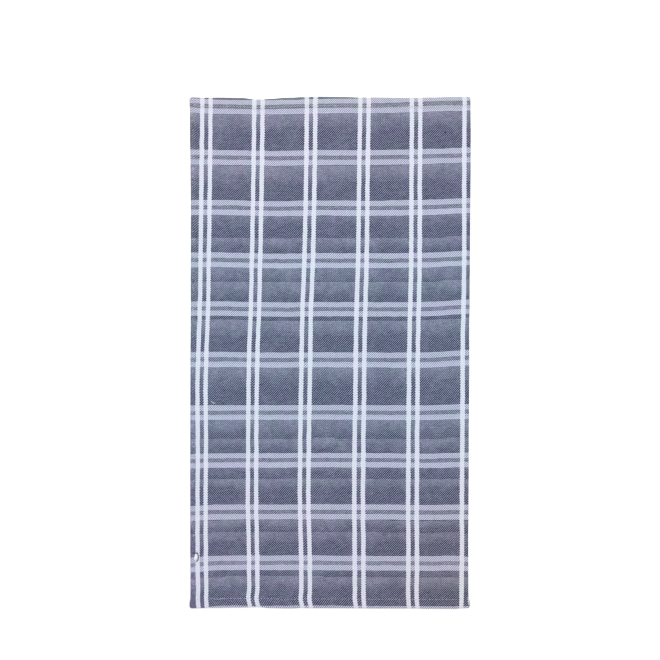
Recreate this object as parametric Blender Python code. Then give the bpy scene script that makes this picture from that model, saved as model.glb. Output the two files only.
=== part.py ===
"""Tea towel: one flat woven cloth, turned under and stitched at both ends.

Lengths are in metres and +Z is up. The origin is under the middle of the cloth, on the
surface it lies on. +Y runs to the towel's far end and +X to its right selvedge. The
tables are in millimetres, as cloth is measured, and MM turns them into metres.
"""

import math
from typing import NamedTuple

import bmesh
import bpy

MM = 0.001

# The cloth
HALF_LENGTH = 350.2 * MM        # middle of the towel to the furthest point of an end fold
CLOTH_THICKNESS = 1.2 * MM
SELVEDGE_SOFTNESS = 1.6 * MM    # a selvedge is thinner than the cloth over this width
SELVEDGE_ROUND = 0.3 * MM       # a selvedge's upper and lower corners are this soft

# The end hems, which are turned twice and so have three layers
HEM_THICKNESS = 2.8 * MM
HEM_DEPTH = 13.5 * MM           # end fold to the inner edge of the turning
HEM_CORNER_RADIUS = 3.4 * MM    # each corner of a hem, seen from above
HEM_SIDE_PEAK = 7.5 * MM        # end fold to where a hem's side stands out the most
HEM_SIDE_REACH = 6.5 * MM       # and how much further in the side is straight again
FOLD_LIFT = 0.7 * MM            # the lower edge of a round fold is this far off the surface
FOLD_PULL_REACH = 60 * MM       # an end that is drawn in takes the cloth with it this far

# How finely the cloth is divided
COLUMNS = 32
ROWS_BETWEEN_HEMS = 46

CLOTH_COLOUR = (0.20, 0.21, 0.30, 1.0)
CLOTH_ROUGHNESS = 0.92


class SelvedgeStation(NamedTuple):
    """How far each selvedge lies from the centreline at one place along the towel, in mm."""

    along: float
    left: float
    right: float


SELVEDGES = (
    SelvedgeStation(along=-350, left=191.3, right=189.1),
    SelvedgeStation(along=-250, left=191.2, right=188.9),
    SelvedgeStation(along=-135, left=191.5, right=189.4),
    SelvedgeStation(along=-20, left=190.9, right=190.0),
    SelvedgeStation(along=78, left=190.4, right=190.7),
    SelvedgeStation(along=176, left=190.4, right=191.3),
    SelvedgeStation(along=258, left=190.5, right=191.7),
    SelvedgeStation(along=300, left=191.6, right=192.3),
    SelvedgeStation(along=350, left=191.5, right=191.8),
)


class EndStation(NamedTuple):
    """How far each end fold is drawn in from a straight line at one place across, in mm."""

    across: float
    far: float
    near: float


END_FOLDS = (
    EndStation(across=-190, far=0.4, near=0.1),
    EndStation(across=-157, far=1.0, near=1.7),
    EndStation(across=-123, far=1.5, near=2.1),
    EndStation(across=-99, far=3.1, near=3.0),
    EndStation(across=-82, far=2.6, near=1.2),
    EndStation(across=-62, far=1.1, near=0.4),
    EndStation(across=-41, far=0.1, near=1.7),
    EndStation(across=-16, far=0.0, near=1.2),
    EndStation(across=16, far=0.1, near=1.0),
    EndStation(across=45, far=1.3, near=0.9),
    EndStation(across=75, far=1.3, near=0.6),
    EndStation(across=106, far=1.7, near=0.3),
    EndStation(across=140, far=1.3, near=0.0),
    EndStation(across=168, far=0.3, near=0.1),
    EndStation(across=190, far=1.1, near=1.6),
)


class HemSides(NamedTuple):
    """How far a hem's two sides stand out past the selvedges, in mm."""

    left: float
    right: float


HEM_SIDES = {
    "far": HemSides(left=0.3, right=0.1),
    "near": HemSides(left=1.1, right=1.5),
}


class HemSection(NamedTuple):
    """The height of a hem's upper side at one distance in from its fold, in mm."""

    inset: float
    height: float


HEM_SECTIONS = (
    HemSection(inset=0.0, height=1.7),
    HemSection(inset=0.6, height=2.3),
    HemSection(inset=1.8, height=2.7),
    HemSection(inset=4.0, height=HEM_THICKNESS / MM),
    HemSection(inset=7.5, height=HEM_THICKNESS / MM),
    HemSection(inset=11.5, height=2.4),
    HemSection(inset=HEM_DEPTH / MM, height=2.1),
    HemSection(inset=16.5, height=CLOTH_THICKNESS / MM),
)


class Rise(NamedTuple):
    """One soft ridge in the cloth.

    It runs for half_length either way from its middle, at turn degrees from the X axis,
    and falls away within half_width. All but turn are in mm.
    """

    across: float
    along: float
    turn: float
    half_length: float
    half_width: float
    height: float


RISES = (
    Rise(across=0, along=98, turn=0.6, half_length=420, half_width=18, height=0.35),
    Rise(across=0, along=-119, turn=-0.5, half_length=420, half_width=18, height=0.30),
    Rise(across=0, along=-172, turn=0.3, half_length=420, half_width=18, height=0.25),
    Rise(across=-97, along=318, turn=86, half_length=40, half_width=17, height=0.60),
    Rise(across=166, along=292, turn=68, half_length=62, half_width=17, height=0.50),
    Rise(across=-158, along=-284, turn=58, half_length=50, half_width=17, height=0.50),
    Rise(across=-160, along=52, turn=82, half_length=96, half_width=19, height=0.40),
    Rise(across=28, along=-306, turn=97, half_length=42, half_width=17, height=0.45),
    Rise(across=92, along=20, turn=24, half_length=88, half_width=20, height=0.30),
    Rise(across=-38, along=206, turn=-28, half_length=76, half_width=20, height=0.30),
)


def ease(share):
    """An even ease from 0 to 1, level at both ends."""
    share = min(max(share, 0.0), 1.0)
    return share * share * (3.0 - 2.0 * share)


def read_table(table, place, column):
    """Reads a column of a table, in metres, at a place given in metres.

    The table's first column is the place, rising from row to row. Between two rows the
    value eases from one to the other, so the outline has no corner at a row.
    """
    at = place / MM
    if at <= table[0][0]:
        return getattr(table[0], column) * MM
    for before, after in zip(table, table[1:]):
        if at <= after[0]:
            share = ease((at - before[0]) / (after[0] - before[0]))
            start = getattr(before, column)
            return (start + (getattr(after, column) - start) * share) * MM
    return getattr(table[-1], column) * MM


def corner_inset(from_fold):
    """How far a hem's round corner draws its side in at a distance from the fold."""
    if from_fold >= HEM_CORNER_RADIUS:
        return 0.0
    rise = HEM_CORNER_RADIUS - from_fold
    return HEM_CORNER_RADIUS - math.sqrt(HEM_CORNER_RADIUS ** 2 - rise ** 2)


def side_reach(along, end, side):
    """How far one side of the towel lies from the centreline, hems and corners included."""
    from_fold = HALF_LENGTH - abs(along)
    fullness = 1.0 - ease((from_fold - HEM_SIDE_PEAK) / HEM_SIDE_REACH)
    bulge = getattr(HEM_SIDES[end], side) * MM * fullness
    return read_table(SELVEDGES, along, side) + bulge - corner_inset(from_fold)


def place_in_plan(share_across, along):
    """Where a point of the cloth lies, seen from above.

    share_across is 0 at the left selvedge and 1 at the right one. along is the place on
    a straight towel, before its ends are drawn in.
    """
    end = "far" if along > 0 else "near"
    left = side_reach(along, end, "left")
    right = side_reach(along, end, "right")
    across = share_across * (left + right) - left
    from_fold = HALF_LENGTH - abs(along)
    pull = 1.0 - ease(from_fold / FOLD_PULL_REACH)
    drawn_in = read_table(END_FOLDS, across, end) * pull
    return across, along - math.copysign(drawn_in, along)


def rise_height(rise, across, along):
    """How much one soft ridge adds to the cloth's height at a place."""
    turn = math.radians(rise.turn)
    dx = across / MM - rise.across
    dy = along / MM - rise.along
    lengthwise = dx * math.cos(turn) + dy * math.sin(turn)
    sideways = dy * math.cos(turn) - dx * math.sin(turn)
    length_share = 1.0 - ease(abs(lengthwise) / rise.half_length)
    width_share = 1.0 - ease(abs(sideways) / rise.half_width)
    return rise.height * MM * length_share * width_share


def upper_height(across, along):
    """How high the cloth's face stands off the surface, away from the selvedges."""
    base = read_table(HEM_SECTIONS, HALF_LENGTH - abs(along), "height")
    return base + sum(rise_height(rise, across, along) for rise in RISES)


def row_places():
    """The places of the grid's rows, from the near fold to the far one."""
    insets = [section.inset * MM for section in HEM_SECTIONS]
    near_hem = [inset - HALF_LENGTH for inset in insets]
    far_hem = [-place for place in reversed(near_hem)]
    step = (far_hem[0] - near_hem[-1]) / ROWS_BETWEEN_HEMS
    between = [near_hem[-1] + step * row for row in range(1, ROWS_BETWEEN_HEMS)]
    return near_hem + between + far_hem


def column_shares():
    """The places of the grid's columns, 0 at the left selvedge and 1 at the right one."""
    soft = SELVEDGE_SOFTNESS / (2.0 * SELVEDGES[0].left * MM)
    step = (1.0 - 2.0 * soft) / COLUMNS
    inner = [soft + step * column for column in range(COLUMNS + 1)]
    return [0.0] + inner + [1.0]


def model_towel():
    """Models the towel as one closed solid, flat beneath and soft above."""
    shares = column_shares()
    rows = row_places()
    last_column = len(shares) - 1
    last_row = len(rows) - 1
    mesh = bmesh.new()
    bmesh.ops.create_grid(mesh, x_segments=last_column, y_segments=last_row, size=0.5)

    # The even grid is drawn to the towel's outline and becomes the underside.
    face_height = mesh.verts.layers.float.new("face_height")
    for vertex in mesh.verts:
        column = round((vertex.co.x + 0.5) * last_column)
        row = round((vertex.co.y + 0.5) * last_row)
        across, along = place_in_plan(shares[column], rows[row])
        height = upper_height(across, rows[row])
        lift = FOLD_LIFT if row in (0, last_row) else 0.0
        if column in (0, last_column):
            height -= SELVEDGE_ROUND
            lift = max(lift, SELVEDGE_ROUND)
        vertex.co = (across, along, lift)
        vertex[face_height] = height

    # The face is the underside raised to the cloth's height, and the rim joins the two.
    raised = bmesh.ops.extrude_face_region(mesh, geom=mesh.faces[:])
    for item in raised["geom"]:
        if isinstance(item, bmesh.types.BMVert):
            item.co.z = item[face_height]
    mesh.verts.layers.float.remove(face_height)

    bmesh.ops.recalc_face_normals(mesh, faces=mesh.faces[:])
    centre_on_origin(mesh)
    return mesh


def centre_on_origin(mesh):
    """Moves the towel in the plane so that the origin is under the middle of its box."""
    xs = [vertex.co.x for vertex in mesh.verts]
    ys = [vertex.co.y for vertex in mesh.verts]
    middle = ((min(xs) + max(xs)) / 2.0, (min(ys) + max(ys)) / 2.0)
    bmesh.ops.translate(mesh, vec=(-middle[0], -middle[1], 0.0), verts=mesh.verts[:])


def cotton_material():
    """Dry woven cotton in the mean colour of the check."""
    material = bpy.data.materials.new("checked_cotton")
    material.use_nodes = True
    shader = material.node_tree.nodes["Principled BSDF"]
    shader.inputs["Base Color"].default_value = CLOTH_COLOUR
    shader.inputs["Roughness"].default_value = CLOTH_ROUGHNESS
    shader.inputs["Metallic"].default_value = 0.0
    return material


def clear_scene():
    """Removes whatever the scene holds."""
    for item in list(bpy.data.objects):
        bpy.data.objects.remove(item)


def main():
    """Makes the towel as one object."""
    clear_scene()
    data = bpy.data.meshes.new("towel")
    mesh = model_towel()
    mesh.to_mesh(data)
    mesh.free()
    data.materials.append(cotton_material())
    data.shade_smooth()
    data.set_sharp_from_angle(angle=math.radians(40.0))
    towel = bpy.data.objects.new("towel", data)
    bpy.context.scene.collection.objects.link(towel)


main()
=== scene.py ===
"""Dresses the tea towel: checked twill cloth, turned hems, stitching, selvedges and stray threads.

The frame is in metres, with its origin under the middle of the towel, on the surface that it lies on.
+Y runs to the towel's far end, +X to its right selvedge and +Z up out of its face. Lengths here are in
millimetres, as cloth is measured, until MM turns them into the frame's metres. Threads are counted
from the first stripe pair each way: ends, the warp, across the towel and picks, the weft, down it.
"""

from __future__ import annotations

import logging
import math
from bisect import bisect_right
from dataclasses import dataclass
from enum import Enum
from typing import NamedTuple, Sequence, Union

import bmesh
import bpy
from mathutils import Matrix, Quaternion, Vector, noise


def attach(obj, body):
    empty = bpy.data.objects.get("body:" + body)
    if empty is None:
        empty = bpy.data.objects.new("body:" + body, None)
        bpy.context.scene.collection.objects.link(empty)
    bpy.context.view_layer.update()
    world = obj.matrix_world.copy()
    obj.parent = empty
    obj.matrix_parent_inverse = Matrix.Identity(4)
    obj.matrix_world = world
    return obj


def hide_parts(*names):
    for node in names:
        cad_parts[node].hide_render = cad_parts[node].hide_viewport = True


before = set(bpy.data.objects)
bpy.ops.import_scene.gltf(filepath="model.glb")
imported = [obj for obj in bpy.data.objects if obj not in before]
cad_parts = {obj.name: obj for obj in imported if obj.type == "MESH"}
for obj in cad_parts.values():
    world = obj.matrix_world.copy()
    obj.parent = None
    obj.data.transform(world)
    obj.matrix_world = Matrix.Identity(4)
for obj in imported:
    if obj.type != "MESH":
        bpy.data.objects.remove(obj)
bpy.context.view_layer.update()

MM = 0.001
BODY = "root"
CLOTH_NODE = "towel"
CLOTH_SLOT = "checked_cotton"

TURN = 2.0 * math.pi
THREAD_STEP = 3.71              # how far apart in the noise two threads' streaks lie

Colour = tuple[float, float, float]
Place = tuple[float, float]
Spot = tuple[float, float, float]

LOG = logging.getLogger("tea_towel")


# Measures of the towel as it lies


class End(Enum):
    """The towel's two hemmed ends, with the direction in which each lies along Y."""

    NEAR = -1
    FAR = 1

    @classmethod
    def of(cls, along: float) -> End:
        """The end in whose half of the towel a place lies."""
        return cls.FAR if along > 0 else cls.NEAR


class Side(Enum):
    """The towel's two selvedges, with the direction in which each lies along X."""

    LEFT = -1
    RIGHT = 1


def table(row: type, *values: tuple) -> tuple:
    """Makes a table of rows of one kind from the values of their columns."""
    return tuple(row(*each) for each in values)


class SelvedgeStation(NamedTuple):
    """How far each selvedge lies from the centreline at one place along the towel."""

    along: float
    left: float
    right: float


SELVEDGES = table(
    SelvedgeStation,
    (-350, 190.85, 189.1), (-314, 190.8, 188.7), (-257, 191.05, 188.65), (-190, 191.1, 189.05),
    (-150, 191.15, 189.35), (-110, 190.95, 189.15), (-68, 190.95, 189.8), (-20, 190.85, 190.1),
    (40, 190.5, 190.0), (65, 190.4, 190.5), (96, 190.4, 190.5), (120, 190.4, 190.9),
    (178, 190.4, 191.3), (211, 190.4, 191.6), (260, 190.75, 192.0), (293, 191.3, 192.2),
    (325, 191.5, 191.8), (350, 191.6, 191.2),
)


class EndStation(NamedTuple):
    """How far each end fold is drawn in from a straight line at one place across."""

    across: float
    far: float
    near: float


END_FOLDS = table(
    EndStation,
    (-190, 1.3, 1.1), (-173, 1.7, 1.4), (-157, 1.6, 1.8), (-123, 2.0, 2.2), (-99, 4.4, 2.8),
    (-82, 3.5, 1.5), (-62, 1.9, 1.0), (-50, 1.7, 1.0), (-41, 1.0, 1.6), (-16, 0.4, 1.4),
    (16, 0.8, 1.3), (45, 1.6, 1.1), (61, 1.6, 0.9), (75, 1.7, 0.9), (106, 1.9, 0.9),
    (140, 1.4, 0.6), (168, 0.7, 0.5), (190, 0.2, 1.5),
)


class HemSides(NamedTuple):
    """How far a hem's two sides stand out past the selvedges."""

    left: float
    right: float


HEM_SIDES = {End.FAR: HemSides(0.3, 0.1), End.NEAR: HemSides(1.1, 1.5)}


class Rise(NamedTuple):
    """One soft ridge in the cloth.

    It runs for half_length either way from its middle, at turn degrees from the X axis,
    and falls away within half_width.
    """

    across: float
    along: float
    turn: float
    half_length: float
    half_width: float
    height: float


RISES = table(
    Rise,
    (0, 98, 0.6, 420, 18, 0.35), (0, -119, -0.5, 420, 18, 0.30), (0, -172, 0.3, 420, 18, 0.25),
    (-97, 318, 86, 40, 17, 0.60), (166, 292, 68, 62, 17, 0.50), (-158, -284, 58, 50, 17, 0.50),
    (-160, 52, 82, 96, 19, 0.40), (28, -306, 97, 42, 17, 0.45), (92, 20, 24, 88, 20, 0.30),
    (-38, 206, -28, 76, 20, 0.30),
)


class ThreadStation(NamedTuple):
    """Measures of the threads at one place along the towel."""

    along: float
    measures: tuple[float, ...]


# Where the middle of each pair of warp stripes lies across
WARP_PAIRS = table(
    ThreadStation,
    (-350, (-173.9, -102.6, -31.5, 41.3, 113.6, 184.4)),
    (-336, (-175.0, -106.2, -34.3, 39.7, 112.5, 185.3)),
    (-325, (-175.0, -105.2, -33.6, 39.6, 112.5, 185.6)),
    (-268, (-175.5, -105.5, -34.0, 39.5, 112.8, 186.0)),
    (-208, (-175.7, -106.8, -35.5, 39.0, 112.5, 186.0)),
    (-118, (-175.3, -106.5, -35.0, 39.5, 113.0, 186.5)),
    (-57, (-175.8, -106.0, -34.0, 40.5, 113.5, 187.0)),
    (3, (-174.5, -105.0, -33.0, 41.0, 114.0, 187.0)),
    (60, (-172.5, -102.8, -32.0, 42.0, 115.2, 188.0)),
    (123, (-171.5, -101.4, -29.5, 44.0, 116.5, 189.0)),
    (243, (-170.0, -99.1, -27.0, 45.5, 117.0, 189.0)),
    (341, (-169.0, -98.0, -26.0, 47.0, 117.5, 189.5)),
)
# Where the middle of each pair of weft stripes lies along the towel, from its near end to its far one
WEFT_PAIRS = (-355.1, -287.2, -217.4, -146.6, -81.6, -9.6, 59.6, 126.0, 197.9, 266.8, 337.6)
BOW_ACROSS = (-187.0, -151.0, -80.0, -9.0, 65.0, 136.0, 168.5, 186.5)
# How far a pick runs towards the far end of a straight line, at each of BOW_ACROSS
BOWS = table(
    ThreadStation,
    (-349, (-5.5, -0.3, -0.2, 0.0, -0.5, -0.7, -0.9, -0.5)),
    (-287, (-2.7, -0.1, 0.2, 0.0, -0.5, -0.8, -0.3, -1.4)),
    (-180, (-1.9, -0.6, -0.3, 0.0, -0.3, -1.0, -0.4, -0.4)),
    (-82, (-0.5, -0.2, -0.3, 0.0, -0.3, -0.5, 0.7, 1.2)),
    (25, (0.7, 0.8, -0.4, 0.0, -0.2, 0.2, 2.2, 3.3)),
    (230, (0.7, 0.8, -0.9, 0.0, -0.1, 1.3, 2.4, 3.2)),
    (337, (0.8, -1.0, -1.6, 0.0, 0.5, 2.5, 3.3, 3.6)),
    (350, (0.8, -1.0, -1.6, 0.0, 1.4, 3.9, 4.7, 5.0)),
)


class WeftLot(NamedTuple):
    """Where a stretch of weft starts, how pale, and how far it takes to deepen towards the near end."""

    start: float
    strength: float
    fade: float


WEFT_LOTS = table(
    WeftLot,
    (372, 0.75, 60), (329.5, 1.0, 32), (256, 1.0, 32), (195, 0.8, 28), (156, 0.9, 18), (121, 0.9, 36),
    (98, 1.0, 31), (44, 1.0, 28), (-16, 0.9, 35), (-88, 1.0, 36), (-116, 0.9, 25), (-150, 0.75, 22),
    (-172, 0.9, 18), (-229, 0.8, 14), (-246, 0.7, 20), (-284, 0.6, 25), (-305, 1.0, 25),
)


def ease(share: float) -> float:
    """An even ease from 0 to 1, level at both ends."""
    share = min(max(share, 0.0), 1.0)
    return share * share * (3.0 - 2.0 * share)


def read_table(rows: Sequence[NamedTuple], place: float, column: str) -> float:
    """Reads a table, easing from each row to the next, so that nothing has a corner.

    Args:
        rows: the table, with the places in its first column rising.
        place: where to read.
        column: the name of the column.

    Returns:
        The value there.
    """
    if place <= rows[0][0]:
        return getattr(rows[0], column)
    for before, after in zip(rows, rows[1:]):
        if place <= after[0]:
            start, stop = getattr(before, column), getattr(after, column)
            return start + (stop - start) * ease((place - before[0]) / (after[0] - before[0]))
    return getattr(rows[-1], column)


@dataclass(frozen=True)
class SmoothLine:
    """A smooth line through a few points, which runs on straight past its ends."""

    places: tuple[float, ...]
    values: tuple[float, ...]

    def slope(self, index: int) -> float:
        """The line's slope at one of its points.

        Args:
            index: the point's number.

        Returns:
            The slope.
        """
        before = max(index - 1, 0)
        after = min(index + 1, len(self.places) - 1)
        return (self.values[after] - self.values[before]) / (self.places[after] - self.places[before])

    def at(self, place: float) -> float:
        """Reads the line.

        Args:
            place: where to read.

        Returns:
            The value there.
        """
        last = len(self.places) - 1
        if place <= self.places[0]:
            return self.values[0] + self.slope(0) * (place - self.places[0])
        if place >= self.places[last]:
            return self.values[last] + self.slope(last) * (place - self.places[last])
        index = bisect_right(self.places, place) - 1
        run = self.places[index + 1] - self.places[index]
        share = (place - self.places[index]) / run
        level = ease(share)
        leave = share * (1.0 - share) ** 2 * run * self.slope(index)
        arrive = share * share * (share - 1.0) * run * self.slope(index + 1)
        return self.values[index] * (1.0 - level) + self.values[index + 1] * level + leave + arrive


@dataclass(frozen=True)
class Outline:
    """The towel's outline seen from above, as uneven as the real one."""

    half_length: float = 350.2      # middle of the towel to the furthest point of an end fold
    corner_radius: float = 3.4      # each corner of a hem
    side_peak: float = 7.5          # end fold to where a hem's side stands out the most
    side_reach: float = 6.5         # and how much further in the side is straight again
    corner_width: float = 9.0       # a round corner draws in this much of the end
    pull_reach: float = 60.0        # an end that is drawn in takes the cloth with it this far

    def from_fold(self, along: float) -> float:
        """How far a place along a straight towel is from the nearer fold."""
        return self.half_length - abs(along)

    def corner_inset(self, from_fold: float) -> float:
        """How far a round corner draws a hem's side in, at a distance from the fold."""
        rise = max(self.corner_radius - from_fold, 0.0)
        return self.corner_radius - math.sqrt(self.corner_radius ** 2 - rise ** 2)

    def reach(self, along: float, side: Side) -> float:
        """How far one side lies from the centreline, but for the round corners of the hems.

        Args:
            along: the place along a straight towel.
            side: which selvedge.

        Returns:
            The distance.
        """
        column = side.name.lower()
        fullness = 1.0 - ease((self.from_fold(along) - self.side_peak) / self.side_reach)
        return read_table(SELVEDGES, along, column) + getattr(HEM_SIDES[End.of(along)], column) * fullness

    def width(self, along: float) -> float:
        """The distance between the selvedges."""
        return self.reach(along, Side.LEFT) + self.reach(along, Side.RIGHT)

    def in_plan(self, share: float, along: float, tuck: float) -> Place:
        """Where a point of the cloth lies, seen from above.

        Args:
            share: 0 at the left selvedge and 1 at the right one.
            along: the place along a straight towel, before its ends are drawn in.
            tuck: how far this layer's sides stay inside the outline.

        Returns:
            The places across and along.
        """
        left = self.reach(along, Side.LEFT) - tuck
        right = self.reach(along, Side.RIGHT) - tuck
        across = share * (left + right) - left
        from_fold = self.from_fold(along)
        inset = self.corner_inset(from_fold)
        across += inset * (1.0 - ease((across + left) / self.corner_width))
        across -= inset * (1.0 - ease((right - across) / self.corner_width))
        end = End.of(along)
        pull = 1.0 - ease(from_fold / self.pull_reach)
        drawn_in = read_table(END_FOLDS, across, end.name.lower()) * pull
        return across, along - end.value * drawn_in


@dataclass(frozen=True)
class Check:
    """The check's thread counts, and which threads cross at a place on the towel."""

    ends_per_repeat: int = 100
    picks_per_repeat: int = 86
    stripe_inner: float = 3.5       # threads from a pair's middle to its white stripes
    stripe_outer: float = 12.5      # and to their outer edges
    pick_pitch: float = 0.805
    stripe_reach: float = 9.0       # from a pair's middle to its outer edge, on the towel
    edge_spread: float = 0.28       # how much further apart the ends lie beside the left selvedge
    corner_spread: float = 0.55     # and in the near hem's right corner
    corner_start: float = 336.0     # which starts so far from the middle, over this depth
    corner_depth: float = 12.0
    far_crowd: float = 0.20         # how much closer the picks lie from here to the far fold
    far_crowd_start: float = 340.4
    faded: float = 0.98             # the most of a lot's fade that is told

    def end_at(self, across: float, along: float) -> float:
        """Which end runs through a place.

        Args:
            across: the place across.
            along: the place along.

        Returns:
            The end's number, which is a multiple of the repeat in the middle of a stripe pair.
        """
        middles = tuple(line.at(along) for line in WARP_LINES)
        numbers = tuple(float(self.ends_per_repeat * index) for index in range(len(middles)))
        beside = min(across - middles[0] + self.stripe_reach, 0.0)
        in_corner = ease((-along - self.corner_start) / self.corner_depth)
        beyond = max(across - middles[-1], 0.0) * in_corner
        spread = self.edge_spread * beside + self.corner_spread * beyond
        return SmoothLine(middles, numbers).at(across - spread)

    def pick_at(self, across: float, along: float) -> float:
        """Which pick runs through a place.

        Args:
            across: the place across.
            along: the place along.

        Returns:
            The pick's number, which is a multiple of the repeat in the middle of a stripe pair.
        """
        rises = tuple(line.at(across) for line in BOW_LINES)
        bow = SmoothLine(BOW_PLACES, rises).at(min(max(along, BOW_PLACES[0]), BOW_PLACES[-1]))
        level = along - bow
        return PICK_LINE.at(level + self.far_crowd * max(level - self.far_crowd_start, 0.0))

    def lot_at(self, pick: float) -> Place:
        """Which weft lot a pick is from.

        Args:
            pick: the pick's number.

        Returns:
            The lot's number plus the share of its fade that is past, and its strength.
        """
        index = min(max(bisect_right(LOT_PICKS, pick) - 1, 0), len(LOT_PICKS) - 1)
        past = (pick - LOT_PICKS[index]) * self.pick_pitch / WEFT_LOTS[index].fade
        return index + min(max(past, 0.0), self.faded), WEFT_LOTS[index].strength


CHECK = Check()
WARP_PLACES = tuple(row.along for row in WARP_PAIRS)
WARP_LINES = tuple(
    SmoothLine(WARP_PLACES, middles) for middles in zip(*(row.measures for row in WARP_PAIRS))
)
BOW_PLACES = tuple(float(row.along) for row in BOWS)
BOW_LINES = tuple(SmoothLine(BOW_ACROSS, row.measures) for row in BOWS)
PICK_LINE = SmoothLine(
    WEFT_PAIRS, tuple(float(CHECK.picks_per_repeat * index) for index in reversed(range(len(WEFT_PAIRS))))
)
LOT_PICKS = tuple(PICK_LINE.at(lot.start) for lot in WEFT_LOTS)


class Row(NamedTuple):
    """One row of the cloth's grid, from selvedge to selvedge."""

    along: float    # its place along a straight towel
    height: float   # the middle of the cloth's thickness above the surface
    turned: float   # how far past the face's last row it lies, measured along the cloth
    lift: float     # the share of the ridges and puckers that raises it
    tuck: float     # how far its sides stay inside the outline


class HemSection(NamedTuple):
    """The height of the middle of the cloth's thickness at one distance from a hem's stitching or fold."""

    inset: float
    height: float


# From the stitching inwards, down off the turning, and from it outwards
HEM_STEP = table(
    HemSection,
    (9.0, 0.42), (5.5, 0.48), (3.6, 0.62), (2.6, 0.86), (2.0, 1.16), (1.6, 1.50),
    (1.2, 1.78), (0.7, 1.87), (0.0, 1.88), (-1.0, 1.96), (-2.6, 2.14),
)
# From the fold inwards
HEM_CREST = table(HemSection, (6.5, 2.28), (4.2, 2.28), (2.4, 2.20))


@dataclass(frozen=True)
class Hem:
    """One end hem: the cloth is turned under twice, so three layers lie over each other."""

    end: End
    stitch: float                   # fold to stitching
    half_length: float
    thickness: float = 0.7
    fold_top: float = 2.05          # heights of the layers at the fold
    under: float = 0.38
    under_at_stitch: float = 0.46   # the stitching lies in a groove beneath
    groove_reach: float = 1.2
    inner_fold: float = 0.7         # stitching to the inner fold's centre
    inner_radius: float = 0.375
    inner_height: float = 0.795
    raw_edge: float = 2.4           # fold to the cut edge inside the hem
    first_row: float = 4.5          # fold to two rows of the layers beneath
    second_row: float = 8.0
    turning_lift: float = 0.25      # the share of the ridges that raises the turning
    fold_steps: int = 6
    tuck: float = 0.25
    tuck_step: float = 0.25         # each layer further down the fold is this much narrower

    @property
    def fold_radius(self) -> float:
        """The radius of the outer fold, to the middle of the cloth's thickness."""
        return (self.fold_top - self.under) / 2.0

    @property
    def fold_centre(self) -> float:
        """How far the outer fold's centre is inside the towel's end."""
        return self.thickness / 2.0 + self.fold_radius

    @property
    def depth(self) -> float:
        """How far the turning reaches in from the fold."""
        return self.stitch + self.inner_fold + self.inner_radius + self.thickness / 2.0

    @property
    def cut(self) -> float:
        """The cloth that the hem takes beyond the towel's length, from the fold to the cut edge."""
        return self.depth + (self.depth - self.raw_edge)

    def row(self, inset: float, height: float, turned: float, lift: float, layer: int) -> Row:
        """Makes a row inside the fold: layer is 0 on the face, 1 beneath and 2 on the turning between."""
        along = self.end.value * (self.half_length - inset)
        return Row(along, height, turned, lift, self.tuck + self.tuck_step * layer)

    def face_rows(self) -> list[Row]:
        """Makes the rows of the hem's face.

        Returns:
            The rows, from inside the stitching out to the fold.
        """
        step = [HemSection(self.stitch + section.inset, section.height) for section in HEM_STEP]
        sections = step + list(HEM_CREST) + [HemSection(self.fold_centre, self.fold_top)]
        return [self.row(section.inset, section.height, 0.0, 1.0, 0) for section in sections]

    def turned_rows(self) -> list[Row]:
        """Makes the rows past the face.

        Returns:
            The rows round the fold, beneath, round the inner fold and back outwards.
        """
        rows = []
        angles = [math.pi * step / self.fold_steps for step in range(1, self.fold_steps + 1)]
        for angle in angles:
            inset = self.fold_centre - self.fold_radius * math.sin(angle)
            height = (self.fold_top + self.under) / 2.0 + self.fold_radius * math.cos(angle)
            rows.append(self.row(inset, height, self.fold_radius * angle, (1.0 + math.cos(angle)) / 2.0, 1))
        turned = self.fold_radius * math.pi
        centre = self.stitch + self.inner_fold
        beneath = table(
            HemSection,
            (self.first_row, self.under), (self.second_row, self.under),
            (self.stitch - self.groove_reach, self.under), (self.stitch, self.under_at_stitch),
            (centre, self.inner_height - self.inner_radius),
        )
        for inset, height in beneath:
            rows.append(self.row(inset, height, turned + inset - self.fold_centre, 0.0, 1))
        turned += centre - self.fold_centre
        for angle in angles:
            inset = centre + self.inner_radius * math.sin(angle)
            height = self.inner_height - self.inner_radius * math.cos(angle)
            lift = self.turning_lift * (1.0 - math.cos(angle)) / 2.0
            rows.append(self.row(inset, height, turned + self.inner_radius * angle, lift, 2))
        turned += self.inner_radius * math.pi
        height = self.inner_height + self.inner_radius
        for inset in (self.stitch, self.second_row, self.first_row, self.raw_edge):
            rows.append(self.row(inset, height, turned + centre - inset, self.turning_lift, 2))
        return rows

    def stitch_row(self) -> Row:
        """The row of the face that the stitching runs along."""
        height = next(section.height for section in HEM_STEP if section.inset == 0.0)
        return self.row(self.stitch, height, 0.0, 1.0, 0)


class Swell(NamedTuple):
    """A slight unevenness of the cloth."""

    height: float
    across: float   # the length of its waves each way
    along: float
    level: float    # which layer of the noise it is read from

    def at(self, across: float, along: float) -> float:
        """How much it raises the cloth at a place, 0 or more."""
        spot = Vector((across / self.across, along / self.along, self.level))
        return self.height * min(max(0.5 + 0.5 * noise.noise(spot), 0.0), 1.0)


WAVES = table(Swell, (0.16, 46.0, 46.0, 0.0), (0.05, 13.0, 13.0, 5.0))
# The sewing gathers the cloth along a hem
PUCKERS = Swell(0.16, 9.0, 22.0, 9.0)


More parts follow.
